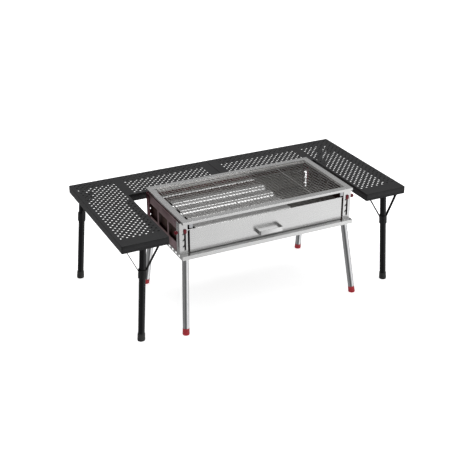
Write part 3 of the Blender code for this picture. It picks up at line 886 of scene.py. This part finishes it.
for corner, (side, end) in CORNERS.items():
    slot_button("slot_button_" + corner, end)
print("4 buttons made")

# %% [markdown]
# ## The cooking net
#
# The net is welded from straight wires: a thicker frame, a close row of wires along the grill and another
# row across it, and three stouter bars that keep it flat. Real wires cross over each other, so the two rows
# lie at different heights and touch. An image of a mesh or a bumped plate would fall apart close up and at
# the edge of the net, while real wires also let the fire below show through.
#
# The net is a little shorter than its opening, so a dark gap shows beside its left end.

# %% Cooking net
NET_PITCH, NET_GAP = 0.0140, 0.0085
WIRE, FRAME_WIRE = 0.00090, 0.0016
STOUT_BARS = (0.34, 0.555, 0.79)
net_low, net_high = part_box("cooking_net")
net_low.x += NET_GAP
net = bmesh.new()
frame_z = net_low.z + FRAME_WIRE
edge = FRAME_WIRE
loop = [
    (net_low.x + edge, net_low.y + edge, frame_z),
    (net_high.x - edge, net_low.y + edge, frame_z),
    (net_high.x - edge, net_high.y - edge, frame_z),
    (net_low.x + edge, net_high.y - edge, frame_z),
]
for first, second in zip(loop, loop[1:] + loop[:1]):
    add_bar(net, [first, second], FRAME_WIRE, 12)
lift = FRAME_WIRE - WIRE
count_x = round((net_high.x - net_low.x) / NET_PITCH)
count_y = round((net_high.y - net_low.y) / NET_PITCH)
step_x = (net_high.x - net_low.x - 2 * edge) / count_x
step_y = (net_high.y - net_low.y - 2 * edge) / count_y
for index in range(1, count_x):
    x, z = net_low.x + edge + index * step_x, frame_z + lift
    add_bar(net, [(x, net_low.y + edge, z), (x, net_high.y - edge, z)], WIRE, 8)
for index in range(1, count_y):
    y, z = net_low.y + edge + index * step_y, frame_z - lift
    add_bar(net, [(net_low.x + edge, y, z), (net_high.x - edge, y, z)], WIRE * 0.8, 8)
for share in STOUT_BARS:
    x = net_low.x + (net_high.x - net_low.x) * share
    add_bar(net, [(x, net_low.y + edge, frame_z), (x, net_high.y - edge, frame_z)], FRAME_WIRE * 0.95, 10)
stand_for(piece_from(net, "cooking_net_fine"), "cooking_net", NET_WIRE)
print(count_x, "by", count_y, "cells in the net")

# %% [markdown]
# ## The charcoal bed
#
# The bed is a ridged steel plate with a piece of grate beside it. The plate is pressed, so its three broad
# ridges flow into the flat with a soft curve. Only the cross-section matters: a cosine makes a shoulder
# with no corner in it, and the section is carried straight along X with the sheet's thickness below. A
# narrow bead runs along both long edges, as it does on any thin tray that must stay straight, and it
# catches a line of light.


# %% Charcoal plate
RIDGE_PITCH, SHOULDER_OUT, SHOULDER_IN, SHEET = 0.0745, 0.0200, 0.0110, 0.0012
BEAD_IN, BEAD_HALF, BEAD_RISE = 0.0060, 0.0050, 0.45


def swell(distance, inner, outer):
    """1 within the inner distance, 0 beyond the outer one and a cosine between them."""
    share = (distance - inner) / (outer - inner)
    return 0.5 + 0.5 * math.cos(math.pi * min(max(share, 0.0), 1.0))


def ridge_height(y, low, high):
    """Height of the plate's section at y, as a fraction of the full rise."""
    from_ridge = min(abs(y - (low + high) / 2 - step * RIDGE_PITCH) for step in (-1, 0, 1))
    from_bead = min(abs(y - low - BEAD_IN), abs(y - high + BEAD_IN))
    return swell(from_ridge, SHOULDER_IN, SHOULDER_OUT) + BEAD_RISE * swell(from_bead, 0.0, BEAD_HALF)


plate_low, plate_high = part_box("charcoal_plate")
rise = plate_high.z - plate_low.z - SHEET
steps = 240
plate = bmesh.new()
section = []
for index in range(steps + 1):
    y = plate_low.y + (plate_high.y - plate_low.y) * index / steps
    section.append((y, plate_low.z + rise * ridge_height(y, plate_low.y, plate_high.y)))
outline = [(y, z + SHEET) for y, z in section] + [(y, z) for y, z in reversed(section)]
ends = [[plate.verts.new((x, y, z)) for y, z in outline] for x in (plate_low.x, plate_high.x)]
for index in range(len(outline)):
    after = (index + 1) % len(outline)
    plate.faces.new((ends[0][index], ends[0][after], ends[1][after], ends[1][index]))
for index in range(steps):
    back = len(outline) - 1 - index
    for row in ends:
        plate.faces.new((row[index], row[index + 1], row[back - 1], row[back]))
# The plate wears steel darkened as painted shade.
stand_for(piece_from(plate, "charcoal_plate_fine"), "charcoal_plate", PLATE_SHADED_STEEL)
print("plate section has", len(outline), "points")

# %% [markdown]
# The grate is woven wire, darkened by fire. In a plain weave each wire rides over one neighbour and under
# the next, which is a wave with its crests at the crossings. Eight points to a wave are enough for wire
# this thin.

# %% Charcoal grate
GRATE_PITCH, GRATE_SWING = 0.0098, 0.00045
THIN, BORDER = 0.0006, 0.001
grate_low, grate_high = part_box("charcoal_grate")
grate_z = (grate_low.z + grate_high.z) / 2
grate = bmesh.new()


def crossings(low, high):
    """Evenly spaced places for wires, from the middle of one border wire to the middle of the other."""
    count = round((high - low) / GRATE_PITCH)
    return [low + BORDER + (high - low - 2 * BORDER) * index / count for index in range(count + 1)]


spots_x = crossings(grate_low.x, grate_high.x)
spots_y = crossings(grate_low.y, grate_high.y)
for number, x in enumerate(spots_x):
    path = [(x, y, grate_z + GRATE_SWING * (-1) ** (number + index)) for index, y in enumerate(spots_y)]
    add_bar(grate, path, THIN, 6)
for number, y in enumerate(spots_y):
    path = [(x, y, grate_z - GRATE_SWING * (-1) ** (number + index)) for index, x in enumerate(spots_x)]
    add_bar(grate, path, THIN, 6)
for x in (grate_low.x + BORDER, grate_high.x - BORDER):
    add_bar(grate, [(x, grate_low.y + BORDER, grate_z), (x, grate_high.y - BORDER, grate_z)], BORDER, 8)
for y in (grate_low.y + BORDER, grate_high.y - BORDER):
    add_bar(grate, [(grate_low.x + BORDER, y, grate_z), (grate_high.x - BORDER, y, grate_z)], BORDER, 8)
stand_for(piece_from(grate, "charcoal_grate_fine"), "charcoal_grate", GRATE_WIRE)
print(len(spots_x) - 1, "by", len(spots_y) - 1, "cells in the grate")

# %% [markdown]
# ## The drawer
#
# The drawer is a shallow tray with a tall front and a pull bent from flat bar. The front is the largest
# plain surface of the set and is brushed along its length. The pull keeps its bends smooth, so its edges
# get a slightly larger roll than the sheets.

# %% Drawer
# The tray wears the steel darkened as painted shade.
rolled_copy("drawer_tray", TRAY_SHADED_STEEL, 0.0004)
rolled_copy("drawer_front", STEEL_X, 0.0004)
rolled_copy("drawer_handle", STEEL_X, 0.0006, 3)
print("drawer made")

# %% [markdown]
# ## The perforated table top
#
# Each half of the table is a pan folded from sheet steel, with round holes punched in a staggered pattern.
# The holes could be cut with Booleans, hundreds of them, which is slow and leaves long thin triangles. It
# is cleaner to build the sheet from tiles. A tile is either plain or has a round hole in it, and neighbours
# share their corners, so the sheet is one surface from the start.
#
# The lines between tiles come first. Their places follow from the pan's own outline.

# %% Lines of the tile grid
top_low, top_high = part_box("table_top_right")
top_points = [vertex.co for vertex in NODES["table_top_right"].data.vertices]
arm_inner = min(point.x for point in top_points if point.y < top_low.y + 0.2)
back_inner = min(point.y for point in top_points if point.x < 0.1)
COLUMN, ROW, HOLE = 0.01215, 0.0132, 0.0040


def lines(start, end, first, step, count):
    """Grid lines: the two outer edges with a run of evenly spaced lines between them."""
    return [start] + [first + step * index for index in range(count + 1)] + [end]


back_columns = lines(top_low.x, arm_inner, top_low.x + 0.0385, COLUMN, 29)
arm_columns = lines(arm_inner, top_high.x, arm_inner + 0.0090, COLUMN, 13)
arm_rows_before = 27
front_rows = lines(top_low.y, back_inner, back_inner - ROW * arm_rows_before, ROW, arm_rows_before)[:-2]
back_rows = [back_inner + ROW * index for index in range(15)] + [top_high.y]
print(len(arm_columns) - 3, "columns in an arm,", len(back_columns) - 3, "in half of the back")

# %% [markdown]
# A plain tile is a single face. A holed tile is four faces, one along each side, and each runs from two
# corners of the tile to a quarter of the circle. The points of the tile corners are kept in a dictionary,
# so a neighbour asking for the same place gets the same point.


# %% Tiles
def corner_at(bm, known, x, y, z):
    key = (round(x, 6), round(y, 6))
    if key not in known:
        known[key] = bm.verts.new((x, y, z))
    return known[key]


def add_tile(bm, known, rims, x, y, z, holed):
    places = ((x[0], y[0]), (x[1], y[0]), (x[1], y[1]), (x[0], y[1]))
    corners = [corner_at(bm, known, *place, z) for place in places]
    if not holed:
        bm.faces.new(corners)
        return
    centre = Vector(((x[0] + x[1]) / 2, (y[0] + y[1]) / 2, z))
    circle = []
    for step in range(16):
        angle = math.radians(225 + step * 22.5)
        circle.append(bm.verts.new(centre + Vector((math.cos(angle), math.sin(angle), 0)) * HOLE))
    rims.update(circle)
    for side in range(4):
        arc = [circle[(side * 4 + step) % 16] for step in range(4, -1, -1)]
        bm.faces.new([corners[side], corners[(side + 1) % 4], *arc])


# %% [markdown]
# The sheet's outer corners are rounded. Slicing the flat sheet with a few planes set at a tangent to the
# rounding leaves a smooth arc of short edges, and the tiles further in aren't touched. The outer edge is
# then drawn down to make the skirt, the fold is bevelled, and a Solidify modifier gives the sheet its
# thickness on the inside, so the outside stays at the true size.


# %% Table tops
ROUND = 0.003


def trim_corner(bm, centre, radius, towards):
    """Round one corner of the flat sheet."""
    for step in range(1, 8):
        angle = math.radians(90 * step / 8)
        outward = Vector((towards[0] * math.cos(angle), towards[1] * math.sin(angle), 0))
        near = []
        for face in bm.faces:
            offsets = [vertex.co - centre for vertex in face.verts]
            if any(offset.x * towards[0] > 0 and offset.y * towards[1] > 0 for offset in offsets):
                near.append(face)
        parts = dict.fromkeys(near)
        for face in near:
            parts.update(dict.fromkeys(face.edges))
            parts.update(dict.fromkeys(face.verts))
        touch = centre + outward * radius
        bmesh.ops.bisect_plane(
            bm, geom=list(parts), dist=0.0000001, plane_co=touch, plane_no=outward, clear_outer=True
        )


def perforated_top(name, side):
    bm = bmesh.new()
    known, rims = {}, set()
    top = top_high.z
    all_rows = front_rows + back_rows
    for columns, rows_here in ((arm_columns, all_rows), (back_columns, back_rows)):
        for i, x in enumerate(zip(columns, columns[1:])):
            for j, y in enumerate(zip(rows_here, rows_here[1:])):
                inside = 0 < i < len(columns) - 2 and 0 < j < len(rows_here) - 2
                row_number = round((y[0] - back_inner) / ROW)
                add_tile(bm, known, rims, x, y, top, inside and (i + row_number) % 2 == 0)
    for x, y, towards in (
        (top_high.x, top_low.y, (1, -1)),
        (top_high.x, top_high.y, (1, 1)),
        (arm_inner, top_low.y, (-1, -1)),
    ):
        trim_corner(bm, Vector((x - towards[0] * ROUND, y - towards[1] * ROUND, top)), ROUND, towards)
    rims = {vertex for vertex in rims if vertex.is_valid}
    print(name, "has", len(rims) // 16, "holes")
    border = [edge for edge in bm.edges if edge.is_boundary and not rims.issuperset(edge.verts)]
    grown = bmesh.ops.extrude_edge_only(bm, edges=border)
    lowered = [item for item in grown["geom"] if isinstance(item, bmesh.types.BMVert)]
    bmesh.ops.translate(bm, verts=lowered, vec=(0, 0, top_low.z - top))
    for vertex in bm.verts:
        vertex.co.x *= side
    if side < 0:
        bmesh.ops.reverse_faces(bm, faces=bm.faces)
    piece = piece_from(bm, name, 30)
    bevel = piece.modifiers.new("fold", "BEVEL")
    bevel.width = 0.0018
    bevel.segments = 3
    bevel.limit_method = "ANGLE"
    bevel.angle_limit = math.radians(60)
    bevel.harden_normals = True
    skin = piece.modifiers.new("sheet", "SOLIDIFY")
    skin.thickness = 0.0015
    skin.offset = -1
    return piece


for name, side in SIDES.items():
    stand_for(perforated_top("table_top_" + name + "_fine", side), "table_top_" + name, POWDER_COAT)

# %% [markdown]
# The long skirts of a pan like this are turned in at the bottom, which stiffens them and hides the raw
# edge. The turned-in strips are separate thin plates here, each with its own rolled edge. They hide some of
# the holes nearest the edge from a low eye, as the real ones do.


# %% Turned-in edges
def thin_plate(name, low, high, finish, body, edge=0.0003):
    """A flat plate between two corners with its edges rolled."""
    bm = bmesh.new()
    low, high = Vector(low), Vector(high)
    stretch = Matrix.Diagonal((*(high - low), 1))
    bmesh.ops.create_cube(bm, size=1, matrix=Matrix.Translation((low + high) / 2) @ stretch)
    bmesh.ops.bevel(bm, geom=bm.edges[:], offset=edge, segments=2, profile=0.5, affect="EDGES")
    plate = piece_from(bm, name)
    plate.data.materials.append(finish)
    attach(plate, body)
    return plate


RETURN, SKIN, HINGE_ROOM = 0.012, 0.0012, 0.0200
LUG_NEAR, LUG_FAR, LUG_BACK, LUG_SHEET = 0.063, 0.033, 0.1047, 0.002
for name, side in SIDES.items():
    strips = {
        "arm_return_": (arm_inner + SKIN, arm_inner + RETURN, top_low.y + ROUND, back_inner + RETURN),
        "outer_return_": (top_high.x - RETURN, top_high.x - SKIN, top_low.y + ROUND, top_high.y - ROUND),
        "back_return_": (HINGE_ROOM, arm_inner, back_inner + SKIN, back_inner + RETURN - 0.0002),
    }
    for label, (x_low, x_high, y_low, y_high) in strips.items():
        x_pair = sorted((side * x_low, side * x_high))
        low, high = (x_pair[0], y_low, top_low.z), (x_pair[1], y_high, top_low.z + SKIN)
        thin_plate(label + name, low, high, POWDER_COAT, "table")
    lug_x = sorted((side * (top_high.x - LUG_NEAR), side * (top_high.x - LUG_FAR)))
    lug_y = top_high.y - LUG_BACK
    low, high = (lug_x[0], lug_y, top_low.z + 0.0025), (lug_x[1], lug_y + LUG_SHEET, top_high.z - 0.0016)
    thin_plate("pivot_lug_" + name, low, high, POWDER_COAT, "table")
print("turned-in edges made")

# %% [markdown]
# ### Braces, pivot rods and the fold hinge
#
# A leg is held by a V of two flat straps. They run from the rod that the leg turns on to a collar round the
# leg. The two halves of the table meet at a small plated hinge. These solids are right in outline, so they
# only need rolled edges, and the rods are turned again with chamfered ends.


# %% Braces, rods, hinge
def pivot_rod(node):
    low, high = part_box(node)
    axis = max(range(3), key=lambda index: high[index] - low[index])
    radius = (high.z - low.z) / 2
    start, end = (low + high) / 2, (low + high) / 2
    start[axis], end[axis] = low[axis], high[axis]
    profile = rod_profile(radius, (end - start).length, 0.75)
    return turned(node + "_fine", start, end, profile, 24)


for corner in CORNERS:
    rolled_copy("table_brace_" + corner, POWDER_COAT, 0.0004)
    stand_for(pivot_rod("table_pivot_rod_" + corner), "table_pivot_rod_" + corner, BLACK_TUBE)
for node in ("fold_hinge_leaf_left", "fold_hinge_leaf_right"):
    rolled_copy(node, ZINC, 0.0003)
stand_for(pivot_rod("fold_hinge_pin"), "fold_hinge_pin", ZINC)
print("braces, rods and hinge made")
